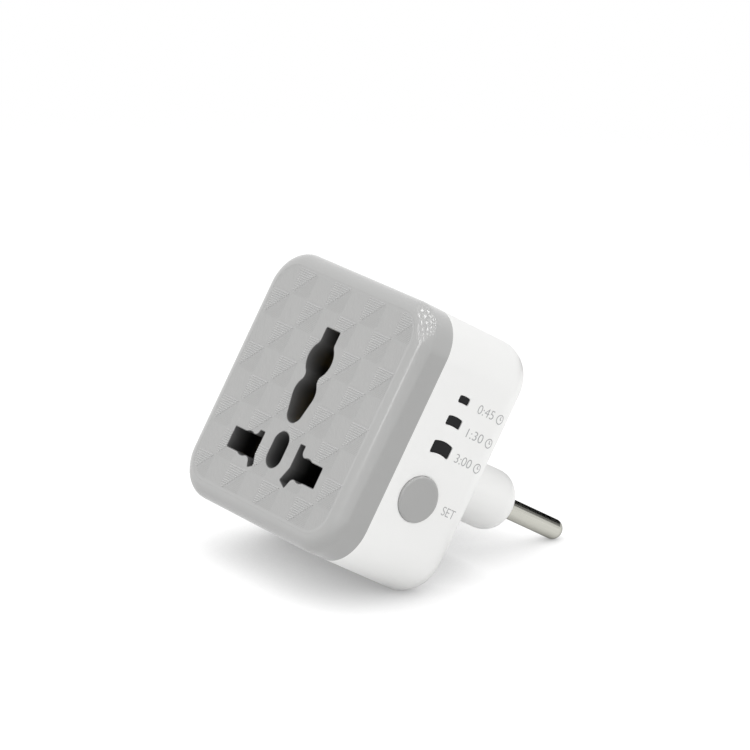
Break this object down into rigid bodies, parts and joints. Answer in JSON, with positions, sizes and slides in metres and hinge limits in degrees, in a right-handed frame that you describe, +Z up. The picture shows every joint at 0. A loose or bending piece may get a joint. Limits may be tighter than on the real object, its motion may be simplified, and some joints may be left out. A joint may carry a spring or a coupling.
{
  "type": "plug-in surge protector with timer",
  "caption": "Square plug-in surge protector: grey universal socket face, white body, side button and windows for a countdown timer, round pins on an oblong rear boss.",
  "frame": {"origin": "midway between the axes of the two plug pins, on the end face of the boss that meets the wall", "axes": "+X to the right seen from the front, +Y along the pins into the wall, +Z up when plugged in"},
  "size_m": [0.0505, 0.0625, 0.05],
  "materials": {
    "grey_gloss": "glossy moulded grey plastic, hatched relief on the face",
    "white_gloss": "smooth satin white moulded plastic",
    "nickel": "bright nickel plating on turned brass",
    "brass_strip": "rolled and bent spring brass",
    "black_plastic": "matt black moulded plastic",
    "circuit_board": "green solder mask on laminate",
    "relay_case": "smooth blue moulded case",
    "blue_coating": "dipped epoxy coating",
    "tin": "tinned metal case",
    "yellow_case": "moulded case filled with resin",
    "can_sleeve": "shrunk sleeve on an aluminium can",
    "resistor_lacquer": "flameproof lacquer",
    "lamp_white": "translucent lamp package",
    "plunger_red": "moulded plunger",
    "button_grey": "satin grey moulded cap",
    "smoked_lens": "smoked clear plastic",
    "screw_steel": "zinc plated steel"
  },
  "bodies": {
    "housing": {"front_cover": "grey_gloss", "rear_housing": "white_gloss", "plug_pin_left": "nickel", "plug_pin_right": "nickel", "pin_strap_left": "brass_strip", "pin_strap_right": "brass_strip", "contact_carrier": "black_plastic", "contact_retainer": "black_plastic", "live_contact": "brass_strip", "neutral_contact": "brass_strip", "earth_contact": "brass_strip", "main_board": "circuit_board", "relay": "relay_case", "varistor": "blue_coating", "thermal_fuse": "tin", "film_capacitor": "yellow_case", "smoothing_capacitor": "can_sleeve", "rectifier_diodes": "black_plastic", "dropper_resistor": "resistor_lacquer", "display_board": "circuit_board", "board_link": "black_plastic", "timer_chip": "black_plastic", "indicator_lamps": "lamp_white", "tact_switch": "black_plastic", "indicator_lens": "smoked_lens", "housing_screws": "screw_steel"},
    "set_button": {"set_button": "button_grey"},
    "switch_plunger": {"switch_plunger": "plunger_red"}
  },
  "joints": [
    {"name": "set_button_press", "type": "slide", "parent": "housing", "child": "set_button", "axis": [-1, 0, 0], "range_m": [0, 0.00045], "stiffness_N_per_m": 800, "springref_m": -0.0012},
    {"name": "switch_plunger_press", "type": "slide", "parent": "housing", "child": "switch_plunger", "axis": [-1, 0, 0], "range_m": [0, 0.00045]}
  ],
  "couplings": [
    {"joint": "switch_plunger_press", "follows": "set_button_press", "ratio": 1}
  ]
}
